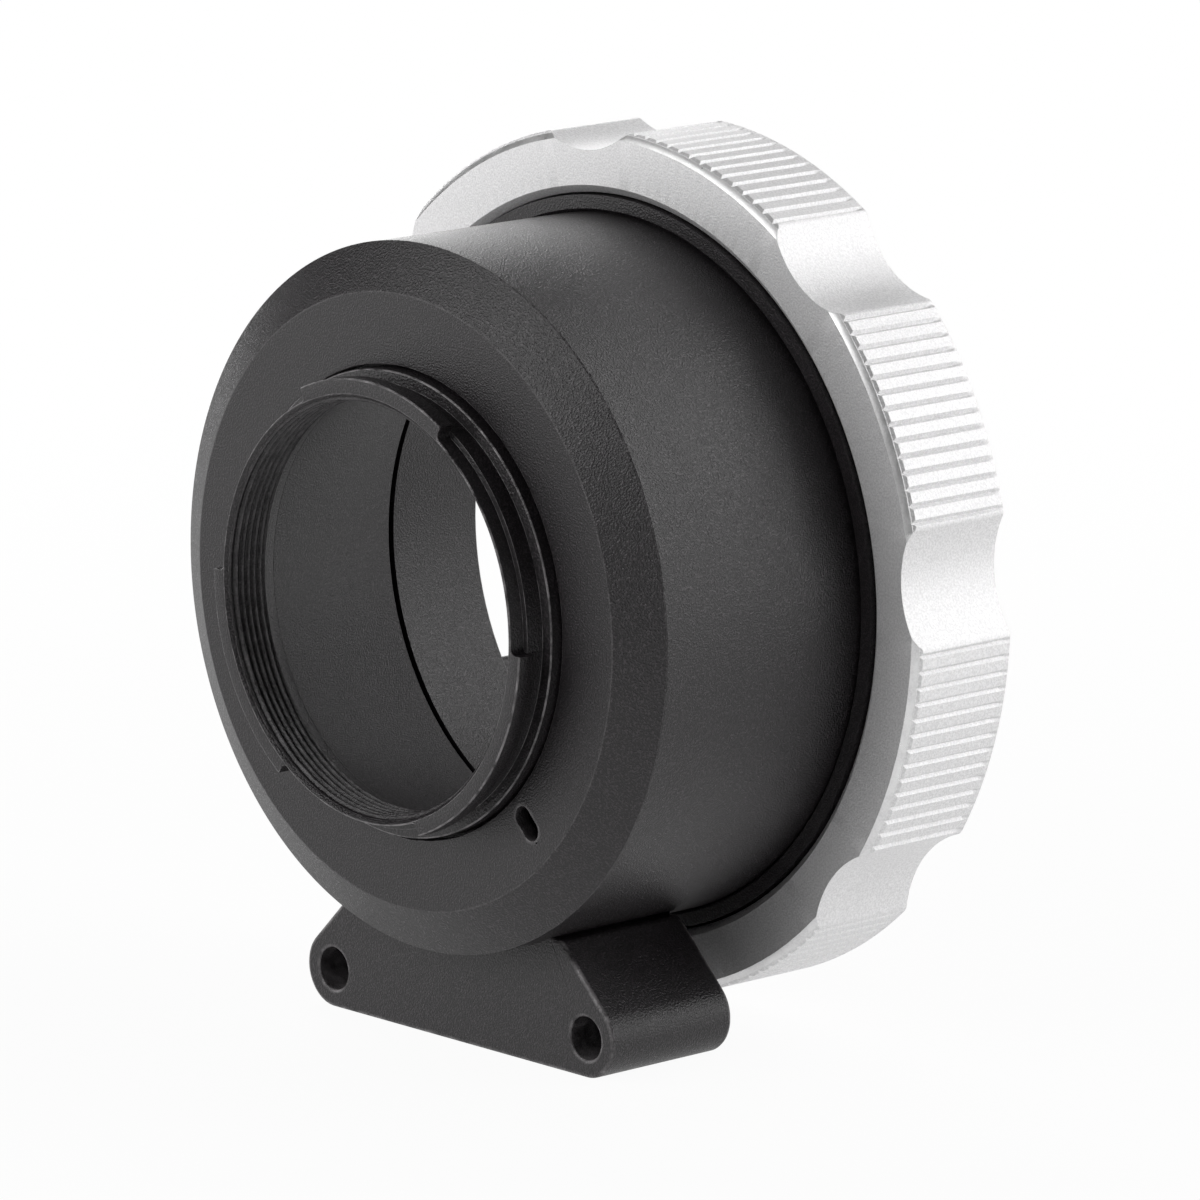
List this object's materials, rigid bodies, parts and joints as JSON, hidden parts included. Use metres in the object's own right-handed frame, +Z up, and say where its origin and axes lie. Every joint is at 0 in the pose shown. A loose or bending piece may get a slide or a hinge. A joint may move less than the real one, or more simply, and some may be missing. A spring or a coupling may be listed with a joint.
{
  "type": "lens mount adapter",
  "caption": "Lens mount adapter: short black barrel with a three-lug bayonet on one side, a silver scalloped locking ring on the other and a foot with two long holes.",
  "frame": {"origin": "on the optical axis, in the flange face that meets the camera", "axes": "-Y towards the camera, +Y towards the lens, +Z up (the foot hangs at -Z), +X to the right as seen from the camera side looking along +Y"},
  "size_m": [0.0866, 0.0451, 0.0885],
  "materials": {
    "black_anodised": "satin, fine bead-blasted black anodise",
    "black_matt": "matt black",
    "silver_anodised": "fine bead-blasted, clear anodised",
    "bare_steel": "turned",
    "black_steel": "blackened screws",
    "slip_plastic": "low-friction washer"
  },
  "bodies": {
    "adapter_body": {"camera_bayonet": "black_anodised", "front_cover": "black_anodised", "barrel": "black_anodised", "mount_screws": "black_steel", "inner_liner": "black_matt", "seat_shim": "bare_steel", "lens_seat": "black_anodised", "seat_screws": "bare_steel", "index_pin": "bare_steel", "drag_washer": "slip_plastic", "support_foot": "black_anodised", "foot_screws": "black_steel", "foot_bush": "bare_steel"},
    "locking_ring": {"lock_ring": "black_anodised", "stop_screw": "black_steel", "grip_ring": "silver_anodised", "grip_screws": "black_steel"}
  },
  "joints": [
    {"name": "ring_turn", "type": "hinge", "parent": "adapter_body", "child": "locking_ring", "pos_m": [0, 0.03, 0], "axis": [0, -1, 0], "range_deg": [0, 50]}
  ]
}
